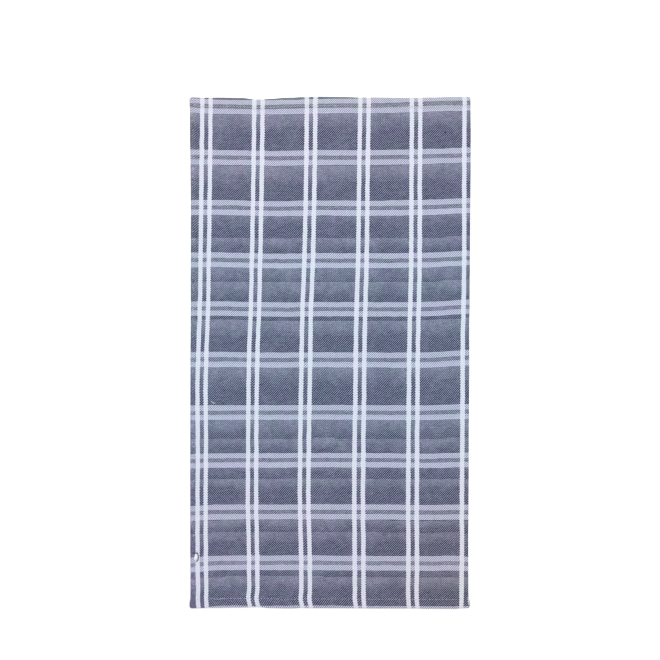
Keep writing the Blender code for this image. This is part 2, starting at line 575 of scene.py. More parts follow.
@dataclass(frozen=True)
class Lay:
    """How the towel lies: its outline, hems and unevenness, and its threads."""

    outline: Outline = Outline()
    flat_height: float = 0.42       # the middle of the cloth's thickness, where it lies flat
    near_stitch: float = 12.7
    far_stitch: float = 11.9

    @property
    def hems(self) -> dict[End, Hem]:
        """The two hems.

        Returns:
            Each end's hem.
        """
        half = self.outline.half_length
        return {
            End.NEAR: Hem(End.NEAR, self.near_stitch, half),
            End.FAR: Hem(End.FAR, self.far_stitch, half),
        }

    def rise(self, across: float, along: float) -> float:
        """Adds up the ridges at a place.

        Args:
            across: the place across.
            along: the place along a straight towel.

        Returns:
            How much they raise the cloth.
        """
        total = 0.0
        for ridge in RISES:
            turn = math.radians(ridge.turn)
            dx = across - ridge.across
            dy = along - ridge.along
            lengthwise = dx * math.cos(turn) + dy * math.sin(turn)
            sideways = dy * math.cos(turn) - dx * math.sin(turn)
            length_share = 1.0 - ease(abs(lengthwise) / ridge.half_length)
            total += ridge.height * length_share * (1.0 - ease(abs(sideways) / ridge.half_width))
        return total

    def unevenness(self, across: float, along: float) -> float:
        """How much the cloth's slight waves and the puckers of its hems raise it, 0 or more."""
        gather = 1.0 - ease((self.outline.from_fold(along) - self.near_stitch) / PUCKERS.along)
        return sum(wave.at(across, along) for wave in WAVES) + PUCKERS.at(across, along) * gather

    def point(self, share: float, row: Row) -> Vector:
        """A point of the middle of the cloth's thickness.

        Args:
            share: 0 at the left selvedge and 1 at the right one.
            row: the row that it is on.

        Returns:
            The point, in metres.
        """
        across, along = self.outline.in_plan(share, row.along, row.tuck)
        lift = self.rise(across, row.along) + self.unevenness(across, row.along)
        return Vector((across, along, row.height + row.lift * lift)) * MM

    def threads(self, share: float, row: Row) -> Place:
        """The threads that cross at a point of the cloth.

        Args:
            share: 0 at the left selvedge and 1 at the right one.
            row: the row that it is on.

        Returns:
            The numbers of the end and the pick.
        """
        end = End.of(row.along)
        hem = self.hems[end]
        last = end.value * (self.outline.half_length - hem.fold_centre)
        place = last if row.turned > 0.0 else row.along
        across, along = self.outline.in_plan(share, place, hem.tuck)
        beyond = -end.value * row.turned / CHECK.pick_pitch
        return CHECK.end_at(across, along), CHECK.pick_at(across, along) + beyond


# Nodes


Number = Union["Wire", float]
Value = Union["Wire", float, tuple, bpy.types.Object]


class Wire:
    """One value in a material, on which Python's operators add Math nodes."""

    def __init__(self, kit: NodeKit, socket: bpy.types.NodeSocket) -> None:
        """Keeps the material's kit and the socket that gives the value."""
        self.kit = kit
        self.socket = socket

    def output(self, name: str) -> Wire:
        """Another output of the node that gives this value."""
        return Wire(self.kit, self.socket.node.outputs[name])

    def __add__(self, other: Number) -> Wire:
        """This plus another."""
        return self.kit.math("ADD", self, other)

    __radd__ = __add__

    def __sub__(self, other: Number) -> Wire:
        """This less another."""
        return self.kit.math("SUBTRACT", self, other)

    def __rsub__(self, other: Number) -> Wire:
        """Another less this."""
        return self.kit.math("SUBTRACT", other, self)

    def __mul__(self, other: Number) -> Wire:
        """This times another."""
        return self.kit.math("MULTIPLY", self, other)

    __rmul__ = __mul__

    def __mod__(self, other: Number) -> Wire:
        """What is left of this after whole numbers of another, never negative."""
        return self.kit.math("FLOORED_MODULO", self, other)

    def __abs__(self) -> Wire:
        """This without its sign."""
        return self.kit.math("ABSOLUTE", self)

    def __lt__(self, other: Number) -> Wire:
        """1 where this is under another, and 0 elsewhere."""
        return self.kit.math("LESS_THAN", self, other)

    def __gt__(self, other: Number) -> Wire:
        """1 where this is over another, and 0 elsewhere."""
        return self.kit.math("GREATER_THAN", self, other)

    def floor(self) -> Wire:
        """The whole number under this."""
        return self.kit.math("FLOOR", self)

    def at_least(self, low: float) -> Wire:
        """This, or a lowest value."""
        return self.kit.math("MAXIMUM", self, low)

    def at_most(self, high: float) -> Wire:
        """This, or a highest value."""
        return self.kit.math("MINIMUM", self, high)

    def eased(self, low: float, high: float) -> Wire:
        """0 below low and 1 above high, with an even ease between them."""
        settings = {"interpolation_type": "SMOOTHSTEP"}
        return self.kit.node("MapRange", settings, {"Value": self, "From Min": low, "From Max": high})


class NodeKit:
    """Makes one material and the nodes in it."""

    def __init__(self, name: str) -> None:
        """Makes the material, with its own Principled shader.

        Args:
            name: the material's name.
        """
        self.material = bpy.data.materials.new(name)
        self.material.use_nodes = True
        self.tree = self.material.node_tree
        self.shader = self.tree.nodes["Principled BSDF"]

    def node(
        self, kind: str, settings: dict, sockets: dict[Union[str, int], Value], output: int = 0
    ) -> Wire:
        """Adds a node.

        Args:
            kind: the node's type, without its ShaderNode.
            settings: the node's properties, and a ramp's stops as places and colours.
            sockets: what its inputs hold or are linked to, by name or number.
            output: the number of the output to give.

        Returns:
            The output's value.
        """
        made = self.tree.nodes.new("ShaderNode" + kind)
        for name, value in settings.items():
            if name == "stops":
                self.set_stops(made.color_ramp, value)
            else:
                setattr(made, name, value)
        for key, value in sockets.items():
            self.feed(made.inputs[key], value)
        return Wire(self, made.outputs[output])

    @staticmethod
    def set_stops(ramp: bpy.types.ColorRamp, stops: Sequence[tuple[float, Colour]]) -> None:
        """Gives a colour ramp its stops.

        Args:
            ramp: the ramp.
            stops: the place and colour of each.
        """
        while len(ramp.elements) < len(stops):
            ramp.elements.new(1.0)
        for element, (place, colour) in zip(ramp.elements, stops):
            element.position = place
            element.color = (*colour, 1.0)

    def feed(self, socket: bpy.types.NodeSocket, value: Value) -> None:
        """Links a socket to a value, or sets what it holds.

        Args:
            socket: the input.
            value: what goes into it.
        """
        if isinstance(value, Wire):
            self.tree.links.new(value.socket, socket)
        elif isinstance(value, tuple) and len(socket.default_value) == 4:
            socket.default_value = (*value, 1.0)
        else:
            socket.default_value = value

    def math(self, operation: str, *values: Number) -> Wire:
        """Adds a Math node on one value or more."""
        return self.node("Math", {"operation": operation}, dict(enumerate(values)))

    def mix(self, share: Number, first: Value, second: Value, blend: str = "MIX") -> Wire:
        """Mixes two colours: a share of 0 gives the first, and 1 the second, as the blend lays it on."""
        # A Mix node's colours are its inputs 6 and 7, and its output 2
        settings = {"data_type": "RGBA", "blend_type": blend}
        return self.node("Mix", settings, {0: share, 6: first, 7: second}, output=2)

    def scaled(self, colour: Value, amount: Number) -> Wire:
        """A colour made lighter or darker by an amount."""
        return self.node("VectorMath", {"operation": "SCALE"}, {0: colour, "Scale": amount})

    def split(self, value: Wire) -> Wire:
        """The three parts of a place or colour, with outputs X, Y and Z."""
        return self.node("SeparateXYZ", {}, {0: value})

    def uv(self, name: str) -> Wire:
        """Two of a piece's own coordinates, split, with outputs X and Y."""
        return self.split(self.node("UVMap", {"uv_map": name}, {}))

    def place(self) -> Wire:
        """The place on the object, in metres, which is the node's output 3."""
        return self.node("TexCoord", {}, {}, output=3)

    def clouds(self, place: Wire, scale: float, detail: float = 2.0, dimensions: str = "3D") -> Wire:
        """Smooth noise about 0.5 over a place."""
        sockets = {"Vector": place, "Scale": scale, "Detail": detail}
        return self.node("TexNoise", {"noise_dimensions": dimensions}, sockets)

    def streaks(self, thread: Wire, along: Wire, length: float) -> Wire:
        """Noise about 0.5 that runs along each thread, in streaks that are a length in threads."""
        place = self.node("CombineXYZ", {}, {"X": thread * THREAD_STEP, "Y": along * (1.0 / length)})
        return self.clouds(place, 1.0, 1.0, "2D")

    def draw(self, thread: Wire) -> Wire:
        """A number from 0 to 1 drawn for each thread."""
        return self.node("TexWhiteNoise", {"noise_dimensions": "1D"}, {"W": thread})

    def finish(
        self, colour: Value, relief: Number, depth: float, strength: float, **constants: float
    ) -> bpy.types.Material:
        """Feeds the shader.

        Args:
            colour: the base colour.
            relief: the surface's relief, from 0 to 1.
            depth: how deep that is, in mm.
            strength: the strength of the bump.
            constants: the shader's other values, by socket, with _ for a space.

        Returns:
            The finished material.
        """
        self.feed(self.shader.inputs["Base Color"], colour)
        bump = self.node("Bump", {}, {"Strength": strength, "Distance": depth * MM, "Height": relief})
        self.feed(self.shader.inputs["Normal"], bump)
        for name, value in constants.items():
            self.feed(self.shader.inputs[name.replace("_", " ")], value)
        return self.material


# Finishes


@dataclass(frozen=True)
class Dyes:
    """The colours of the yarns, and how they vary over the towel, with painted shade at the near fold.

    Its places are in metres from the middle of the towel, as materials read them.
    """

    navy_deep: Colour = (0.016, 0.019, 0.050)
    navy_pale: Colour = (0.203, 0.219, 0.330)
    grey_deep: Colour = (0.264, 0.290, 0.432)
    grey_pale: Colour = (0.330, 0.350, 0.458)
    white_weft: Colour = (0.592, 0.625, 0.782)
    white_warp: Colour = (0.658, 0.684, 0.778)
    far_tint: Colour = (1.0, 0.975, 0.975)
    far_hem_tint: Colour = (1.0, 0.98, 0.86)
    middle_tint: Colour = (0.915, 1.0, 1.0)
    near_tint: Colour = (1.0, 0.965, 0.985)
    corner_tint: Colour = (1.0, 0.95, 0.85)     # the near right corner, times the rest
    violet: Colour = (0.985, 0.935, 1.0)
    green: Colour = (0.925, 0.975, 0.955)
    between: float = 0.30           # how far the dyed picks between white ones are towards white
    pair_pale: float = 0.45         # how much paler the dyed yarns are in a pair of weft stripes
    deep_band: float = 0.20         # and how much deeper in the ends of one long band
    deep_band_middle: float = 0.079
    deep_band_half: float = 0.024
    edge_weft_near: Colour = (1.24, 1.15, 1.24)     # the weft beside the left selvedge, times its own
    edge_weft_far: Colour = (1.17, 1.16, 1.04)
    edge_change: float = 0.1        # the nearer gives way to the farther from so far before the middle
    margin_start: float = 0.181
    margin_full: float = 0.186
    fold_shade_start: float = 0.346        # painted shade where the cloth rounds the near fold: the pair of stripes there is as dark as the rest
    fold_shade_full: float = 0.341
    corner_start: float = 0.26      # the places across and towards the near end, added up
    corner_full: float = 0.54
    wide_scale: float = 28.0        # broad and small clouds in the dye
    wide_depth: float = 1.3
    small_scale: float = 95.0
    small_depth: float = 1.0
    tint_scale: float = 42.0
    tint_range: Place = (0.35, 0.65)
    tint_half: float = 0.35         # where the row of tints ends either way
    detail: float = 5.0
    warp_streak: float = 12.0       # how many threads long
    weft_streak: float = 8.0
    streak: float = 1.3             # how much the dye varies along a thread
    draw: float = 0.12              # and from thread to thread
    white_streak: float = 0.12

    def paleness(self, kit: NodeKit) -> Wire:
        """How pale the dye is over the towel, with painted shade at the near fold.

        Args:
            kit: the material's nodes.

        Returns:
            0 where the dye is deepest and 1 where it is palest.
        """
        lot = kit.uv("lot")
        pale = (1.0 - (lot % 1.0).eased(0.0, 1.0)) * lot.output("Y")
        place = kit.place()
        wide = kit.clouds(place, self.wide_scale) - 0.5
        small = kit.clouds(place, self.small_scale, self.detail) - 0.5
        across = kit.split(place)
        band = 1.0 - abs(across - self.deep_band_middle).eased(0.0, self.deep_band_half)
        clouded = pale + wide * self.wide_depth + small * self.small_depth - band * self.deep_band
        pale = clouded.at_least(0.0).at_most(1.0)
        pick = (kit.uv("threads").output("Y") + 0.5).floor()
        pair = from_middle(pick, CHECK.picks_per_repeat) < CHECK.stripe_outer
        # Painted shade at the near fold: the stripe pair's paleness is taken out there
        clear_of_fold_shade = (across.output("Y") * -1.0).eased(self.fold_shade_start, self.fold_shade_full)
        return pale + pair * clear_of_fold_shade * self.pair_pale * (1.0 - pale)

    def beside_selvedge(self, kit: NodeKit) -> Wire:
        """1 in the narrow margin beside the left selvedge, and 0 elsewhere."""
        return (kit.split(kit.place()) * -1.0).eased(self.margin_start, self.margin_full)

    def tinted(self, kit: NodeKit, colour: Value, share: Number) -> Wire:
        """Lays the towel's slow changes of tint over a colour.

        Args:
            kit: the material's nodes.
            colour: the yarn's colour.
            share: how strongly.

        Returns:
            The colour, warmer at the towel's ends and patchy all over.
        """
        place = kit.place()
        across = kit.split(place)
        reach = {"From Min": -self.tint_half, "From Max": self.tint_half}
        down = kit.node("MapRange", {}, {"Value": across.output("Y"), **reach})
        stops = (
            (0.0, self.near_tint), (0.18, self.near_tint), (0.36, self.middle_tint),
            (0.66, self.middle_tint), (0.86, self.far_tint), (0.965, self.far_tint),
            (0.99, self.far_hem_tint),
        )
        slow = kit.node("ValToRGB", {"stops": stops}, {"Fac": down})
        to_corner = (across - across.output("Y")).eased(self.corner_start, self.corner_full)
        slow = kit.mix(to_corner, slow, self.corner_tint, "MULTIPLY")
        patch = kit.clouds(place, self.tint_scale, self.detail).eased(*self.tint_range)
        patches = kit.mix(patch, self.green, self.violet)
        return kit.mix(share, kit.mix(share, colour, slow, "MULTIPLY"), patches, "MULTIPLY")

    def spun(
        self, kit: NodeKit, thread: Wire, along: Wire, length: float,
        white: Wire, dyed: Wire, bleached: Colour,
    ) -> Wire:
        """The colour of a yarn, streaky along it.

        Args:
            kit: the material's nodes.
            thread: the yarn's number.
            along: the place along it, in threads.
            length: how many threads a streak is long.
            white: 1 where the yarn is white.
            dyed: its colour where it is dyed.
            bleached: its colour where it is white.

        Returns:
            The colour.
        """
        streak = kit.streaks(thread, along, length) - 0.5
        draw = kit.draw(thread) - 0.5
        dyed = kit.scaled(dyed, 1.0 + streak * self.streak + draw * self.draw)
        return kit.mix(white, dyed, kit.scaled(bleached, 1.0 + streak * self.white_streak))

    def warp(self, kit: NodeKit, end: Wire, pick_at: Wire, white: Wire, pale: Wire) -> Wire:
        """The colour of an end at a place along it, where it is white or its dye is so pale."""
        dyed = kit.mix(pale, self.navy_deep, self.navy_pale)
        return self.spun(kit, end, pick_at, self.warp_streak, white, dyed, self.white_warp)

    def weft(self, kit: NodeKit, pick: Wire, end_at: Wire, white: Wire, pale: Wire) -> Wire:
        """The colour of a pick.

        Args:
            kit: the material's nodes.
            pick: the pick's number.
            end_at: the place along it, in ends.
            white: 1 where the pick is white.
            pale: how pale the dye is.

        Returns:
            The colour.
        """
        dyed = kit.mix(pale, self.grey_deep, self.grey_pale)
        between = from_middle(pick, CHECK.picks_per_repeat) < CHECK.stripe_inner
        dyed = kit.mix(between * self.between, dyed, self.white_weft)
        farther = kit.split(kit.place()).output("Y").eased(-self.edge_change, self.edge_change)
        edge_weft = kit.mix(farther, self.edge_weft_near, self.edge_weft_far)
        dyed = kit.mix(self.beside_selvedge(kit), dyed, edge_weft, "MULTIPLY")
        return self.spun(kit, pick + 0.5, end_at, self.weft_streak, white, dyed, self.white_weft)


DYES = Dyes()


def from_middle(number: Wire, repeat: int) -> Wire:
    """How many threads a thread is from the middle of the nearest pair of stripes."""
    return abs((number + repeat / 2.0) % float(repeat) - repeat / 2.0)


def in_stripe(number: Wire, repeat: int, margin: float = 0.0) -> Wire:
    """1 where a thread is in one of its pair of white stripes, a margin inside its edges."""
    distance = from_middle(number, repeat)
    return (distance > CHECK.stripe_inner + margin) * (distance < CHECK.stripe_outer - margin)


class Face(Enum):
    """The cloth's two faces, with the step of the twill that each starts from."""

    UPPER = 0.0
    UNDER = 2.0


@dataclass(frozen=True)
class CheckedTwill:
    """Cotton in a 2/2 twill, with warp-faced white stripes and white weft stripes."""

    face: Face
    wander: float = 2.2             # how far a yarn strays, in yarns
    wander_scale: float = 55.0
    float_width: float = 0.70       # a dark float is narrower between plump white picks
    tie_width: float = 0.3          # the hidden ties in a white stripe
    tie_step: float = 3.0
    tie_repeat: float = 8.0
    stripe_flatness: float = 0.85   # how level its long floats are
    hollow_shade: float = 0.35            # painted shade in the hollows between dyed yarns
    white_hollow_shade: float = 0.72      # and between white ones, lighter as they light each other
    twist: float = 0.07             # how strongly the painted light and shade of the yarns' twist shows
    white_tint: float = 0.5         # how strongly the towel's tints show on white
    mottle: float = 2.4             # how unevenly the margin beside the left selvedge is beaten
    mottle_scale: float = 560.0
    white_mottle: float = 0.8       # how much less on white
    flank: float = 0.45             # a yarn's relief where it dives, against its crown's 1
    relief: float = 0.16            # mm
    bump: float = 0.55

    def material(self) -> bpy.types.Material:
        """Makes the cloth's material.

        Returns:
            The material.
        """
        kit = NodeKit(f"{CLOTH_SLOT}_{self.face.name.lower()}")
        threads = kit.uv("threads")
        stray = kit.split(kit.clouds(kit.place(), self.wander_scale).output("Color"))
        end_at = threads + (0.5 - self.wander / 2.0) + stray * self.wander
        pick_at = threads.output("Y") + (0.5 - self.wander / 2.0) + stray.output("Y") * self.wander
        end, pick = end_at.floor(), pick_at.floor()
        end_part, pick_part = end_at - end, pick_at - pick
        white_end = in_stripe(end, CHECK.ends_per_repeat)
        white_pick = in_stripe(pick, CHECK.picks_per_repeat)
        # The twill's step: the end is on top at 0 and 1, and the pick at 2 and 3
        diagonal = (end + pick + self.face.value) % 4.0
        across_end = abs(end_part * 2.0 - 1.0)
        across_pick = abs(pick_part * 2.0 - 1.0)

        # Which yarn is on top: inside a white stripe every end is, but for small hidden ties
        twill = (diagonal < 1.5) * (1.0 - white_pick * (across_end > self.float_width))
        tie = ((end * self.tie_step + pick) % self.tie_repeat < 0.5) * (across_end < self.tie_width)
        faced = in_stripe(end, CHECK.ends_per_repeat, 1.0)
        on_top = twill + faced * ((1.0 - tie) - twill)

        # The relief of a round yarn that arches over the two yarns it crosses
        warp_arch = (diagonal - 1.0 + pick_part) * (1.0 - faced * self.stripe_flatness)
        warp_relief = self.round_yarn(across_end, warp_arch)
        weft_relief = self.round_yarn(across_pick, diagonal - 3.0 + end_part)
        relief = weft_relief + on_top * (warp_relief - weft_relief)

        pale = DYES.paleness(kit)
        warp = DYES.warp(kit, end, pick_at, white_end, pale)
        weft = DYES.weft(kit, pick, end_at, white_pick, pale)
        white = white_pick + on_top * (white_end - white_pick)
        hollow_shade = white * (self.white_hollow_shade - self.hollow_shade) + self.hollow_shade
        turns = (end_part + pick_part) * 2.0 + (pick_part - end_part) * on_top
        # Painted light and shade of the yarns' twist
        twist = kit.math("SINE", turns * TURN)
        mottle = (kit.clouds(kit.place(), self.mottle_scale) - 0.5) * DYES.beside_selvedge(kit)
        mottle *= (1.0 - white * self.white_mottle) * self.mottle
        # Painted light and shade: round yarns lighter on their crowns, darker in their hollows and in the
        # twist's grooves; the mottle is uneven beating
        shade = (hollow_shade + relief * (1.0 - hollow_shade) + twist * self.twist) * (1.0 + mottle)
        colour = DYES.tinted(kit, kit.mix(on_top, weft, warp), 1.0 - white * (1.0 - self.white_tint))
        return kit.finish(
            kit.scaled(colour, shade), relief, depth=self.relief, strength=self.bump,
            Roughness=0.92, Specular_IOR_Level=0.18, Sheen_Weight=0.12, Sheen_Roughness=0.6,
        )

    def round_yarn(self, across: Wire, arch: Wire) -> Wire:
        """A yarn's relief, from 0 to 1, as across its middle line and along its float go from 0 to 1."""
        rise = (1.0 - arch * arch).at_least(0.0)
        return (1.0 - across * across) * (self.flank + rise * (1.0 - self.flank))


@dataclass(frozen=True)
class TurnedYarn:
    """The weft where it turns back at a selvedge, in the colours of its picks."""

    shade: float = 0.60             # how dark it is, as it turns away from the light
    fuzz: float = 0.3               # and how unevenly
    fuzz_scale: float = 5200.0
    white_tint: float = 0.5

    def material(self) -> bpy.types.Material:
        """Makes the turned yarn's material.

        Returns:
            The material.
        """
        kit = NodeKit("selvedge_yarn")
        threads = kit.uv("threads")
        pick = (threads.output("Y") + 0.5).floor()
        white = in_stripe(pick, CHECK.picks_per_repeat)
        colour = DYES.weft(kit, pick, threads, white, DYES.paleness(kit))
        colour = DYES.tinted(kit, colour, 1.0 - white * self.white_tint)
        fuzz = kit.clouds(kit.place(), self.fuzz_scale)
        colour = kit.scaled(colour, self.shade + fuzz * self.fuzz)
        return kit.finish(
            colour, fuzz, depth=0.05, strength=0.4,
            Roughness=0.95, Specular_IOR_Level=0.15, Sheen_Weight=0.1,
        )


@dataclass(frozen=True)
class SpunThread:
    """A loose yarn or a sewing thread of one colour, with the slant of its twist."""

    name: str
    colour: Colour
    groove_shade: float = 0.28            # painted shade in the grooves of its twist
    wear: float = 0.3
    wear_scale: float = 260.0
    turns: Spot = (2100.0, 3300.0, 2600.0)      # the twist's turns in a metre each way
    roughness: float = 0.85

    def material(self) -> bpy.types.Material:
        """Makes the thread's material.

        Returns:
            The material.
        """
        kit = NodeKit(self.name)
        place = kit.place()
        slant = kit.node("VectorMath", {"operation": "DOT_PRODUCT"}, {0: place, 1: self.turns}, output=1)
        ply = kit.math("SINE", slant * TURN) * 0.5 + 0.5
        worn = kit.clouds(place, self.wear_scale) - 0.5
        # Painted shade in the grooves of the twist, with uneven wear
        shade = (1.0 - self.groove_shade) + ply * self.groove_shade + worn * self.wear
        return kit.finish(
            kit.scaled(self.colour, shade), ply, depth=0.08, strength=0.5,
            Roughness=self.roughness, Specular_IOR_Level=0.25, Sheen_Weight=0.1,
        )


@dataclass(frozen=True)
class PaleFloor:
    """The plain pale surface that the towel lies on."""

    colour: Colour = (0.93, 0.93, 0.93)

    def material(self) -> bpy.types.Material:
        """Makes the floor's material.

        Returns:
            The material.
        """
        kit = NodeKit("pale_floor")
        for name, value in (("Base Color", self.colour), ("Roughness", 0.9), ("Specular IOR Level", 0.0)):
            kit.feed(kit.shader.inputs[name], value)
        return kit.material


# Pieces


def new_piece(
    name: str, mesh: bmesh.types.BMesh, materials: Sequence[bpy.types.Material]
) -> bpy.types.Object:
    """Turns a bmesh into a smooth object at the origin.

    Args:
        name: the object's name.
        mesh: its mesh, which is freed.
        materials: its materials, in the order of their slots.

    Returns:
        The object, linked to the scene.
    """
    data = bpy.data.meshes.new(name)
    mesh.to_mesh(data)
    mesh.free()
    for material in materials:
        data.materials.append(material)
    data.shade_smooth()
    made = bpy.data.objects.new(name, data)
    bpy.context.scene.collection.objects.link(made)
    return made


def small_form(name: str, mesh: bmesh.types.BMesh) -> bpy.types.Mesh:
    """Turns a bmesh in millimetres into a small form to be stamped.

    Args:
        name: the form's name.
        mesh: its mesh, which is freed.

    Returns:
        The form, in metres, with the cloth's UV maps.
    """
    bmesh.ops.scale(mesh, vec=(MM, MM, MM), verts=mesh.verts[:])
    for layer in ("threads", "lot"):
        mesh.loops.layers.uv.new(layer)
    form = bpy.data.meshes.new(name)
    mesh.to_mesh(form)
    mesh.free()
    return form


def stamp(
    mesh: bmesh.types.BMesh, form: bpy.types.Mesh, place: Matrix,
    threads: Place = (0.0, 0.0), lot: Place = (0.0, 0.0),
) -> None:
    """Adds a placed copy of a small form to a mesh.

    Args:
        mesh: the mesh that grows.
        form: the small form.
        place: where the copy goes.
        threads: the copy's own end and pick.
        lot: the copy's own weft lot and strength.
    """
    copy = form.copy()
    copy.transform(place)
    for name, value in (("threads", threads), ("lot", lot)):
        copy.uv_layers[name].data.foreach_set("uv", value * len(copy.loops))
    mesh.from_mesh(copy)
    bpy.data.meshes.remove(copy)


def axes(origin: Vector, x: Vector, y: Vector) -> Matrix:
    """Makes a placement from two directions.

    Args:
        origin: its origin.
        x: the direction of its X axis.
        y: a direction near its Y axis.

    Returns:
        The placement.
    """
    x = x.normalized()
    z = x.cross(y).normalized()
    y = z.cross(x)
    turn = Matrix((x, y, z)).transposed().to_4x4()
    return Matrix.Translation(origin) @ turn


@dataclass
class TowelCloth:
    """The woven cloth in one sheet, with both ends turned under twice."""

    lay: Lay
    columns: int = 126
    rows_between: int = 226
    soft_edges: tuple[float, ...] = (0.0, 0.35, 0.9)
    name: str = "towel_cloth"

    def shares(self) -> list[float]:
        """Spaces the grid's columns, closer beside the selvedges.

        Returns:
            Their places, 0 at the left selvedge and 1 at the right one.
        """
        width = self.lay.outline.width(0.0)
        left = [edge / width for edge in self.soft_edges]
        right = [1.0 - share for share in reversed(left)]
        step = (right[0] - left[-1]) / self.columns
        return left + [left[-1] + step * column for column in range(1, self.columns)] + right

    def rows(self) -> list[Row]:
        """Makes the grid's rows.

        Returns:
            The rows, from the cut edge inside the near hem to the one inside the far hem.
        """
        near, far = self.lay.hems[End.NEAR], self.lay.hems[End.FAR]
        near_rows = near.face_rows() + near.turned_rows()
        far_rows = far.face_rows() + far.turned_rows()
        start, stop = near_rows[0].along, far_rows[0].along
        step = (stop - start) / self.rows_between
        between = [
            Row(start + step * row, self.lay.flat_height, 0.0, 1.0, near.tuck)
            for row in range(1, self.rows_between)
        ]
        return near_rows[::-1] + between + far_rows

    def build(self) -> bpy.types.Object:
        """Makes the cloth.

        Returns:
            The cloth, dressed, riding on its body in place of its solid.
        """
        shares, rows = self.shares(), self.rows()
        last_column, last_row = len(shares) - 1, len(rows) - 1
        mesh = bmesh.new()
        # The grid is one unit each way, so a vertex's place in it gives its column and row
        bmesh.ops.create_grid(mesh, x_segments=last_column, y_segments=last_row, size=0.5)
        threads_map = mesh.loops.layers.uv.new("threads")
        lot_map = mesh.loops.layers.uv.new("lot")
        for vertex in mesh.verts:
            share = shares[round((vertex.co.x + 0.5) * last_column)]
            row = rows[round((vertex.co.y + 0.5) * last_row)]
            vertex.co = self.lay.point(share, row)
            threads = self.lay.threads(share, row)
            lot = CHECK.lot_at(threads[1])
            for loop in vertex.link_loops:
                loop[threads_map].uv = threads
                loop[lot_map].uv = lot
        cloth = new_piece(self.name, mesh, [CheckedTwill(face).material() for face in Face])
        solidify = cloth.modifiers.new("thickness", "SOLIDIFY")
        solidify.thickness = self.lay.hems[End.NEAR].thickness * MM
        solidify.offset = 0.0
        solidify.material_offset = 1
        solidify.material_offset_rim = 0
        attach(cloth, BODY)
        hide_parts(CLOTH_NODE)
        return cloth

    def cut_size(self) -> Place:
        """Works out the size to which the cloth was cut, its turnings included.

        Returns:
            The width and length, in metres.
        """
        outline = self.lay.outline
        turnings = sum(hem.cut for hem in self.lay.hems.values())
        return outline.width(0.0) * MM, (2.0 * outline.half_length + turnings) * MM


@dataclass
class Selvedge:
    """The turns of the weft along one side of the cloth, one for every two picks."""

    lay: Lay
    side: Side
    rows: list[Row]
    yarn: float = 0.19              # the yarn's radius
    reach: float = 0.42             # how far a turn stands out
    inner_line: float = 0.004       # the share of the width to the line that a turn points away from
    sides: int = 6
    steps: int = 5

    def turn_form(self) -> bpy.types.Mesh:
        """Makes one turn of the weft.

        Returns:
            Half a ring in the XY plane, standing out along X.
        """
        mesh = bmesh.new()
        radius = CHECK.pick_pitch / 2.0
        start = Matrix.Translation((0.0, -radius, 0.0)) @ Matrix.Rotation(math.pi / 2.0, 4, "Y")
        made = bmesh.ops.create_circle(
            mesh, cap_ends=True, segments=self.sides, radius=self.yarn, matrix=start
        )
        ring = list({edge for vertex in made["verts"] for edge in vertex.link_edges})
        bmesh.ops.spin(
            mesh, geom=ring + made["verts"], cent=(0.0, 0.0, 0.0), axis=(0.0, 0.0, 1.0),
            angle=math.pi, steps=self.steps,
        )
        bmesh.ops.holes_fill(mesh, edges=mesh.edges[:])
        bmesh.ops.recalc_face_normals(mesh, faces=mesh.faces[:])
        bmesh.ops.scale(mesh, vec=(self.reach / radius, 1.0, 1.0), verts=mesh.verts[:])
        return small_form("weft_turn", mesh)

    def build(self) -> bpy.types.Object:
        """Makes the selvedge.

        Returns:
            All of its turns in one object.
        """
        edge = float(self.side is Side.RIGHT)
        inner = edge - self.side.value * self.inner_line
        line = [self.lay.point(edge, row) for row in self.rows]
        inside = [self.lay.point(inner, row) for row in self.rows]
        ends, picks = zip(*(self.lay.threads(edge, row) for row in self.rows))
        mesh = bmesh.new()
        form = self.turn_form()
        first = 2 * math.ceil(picks[-1] / 2.0) + (self.side is Side.RIGHT)
        for pick in range(first, math.floor(picks[0]), 2):
            middle = pick + 0.5
            index = next(row for row in range(len(picks) - 1) if picks[row + 1] <= middle)
            share = (picks[index] - middle) / (picks[index] - picks[index + 1])
            spot = line[index].lerp(line[index + 1], share)
            outward = spot - inside[index].lerp(inside[index + 1], share)
            run = line[index + 1] - line[index]
            outward -= run * (outward.dot(run) / run.length_squared)
            stamp(mesh, form, axes(spot, outward, run), (ends[index], float(pick)), CHECK.lot_at(pick))
        bpy.data.meshes.remove(form)
        made = new_piece(f"selvedge_{self.side.name.lower()}", mesh, [TurnedYarn().material()])
        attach(made, BODY)
        return made


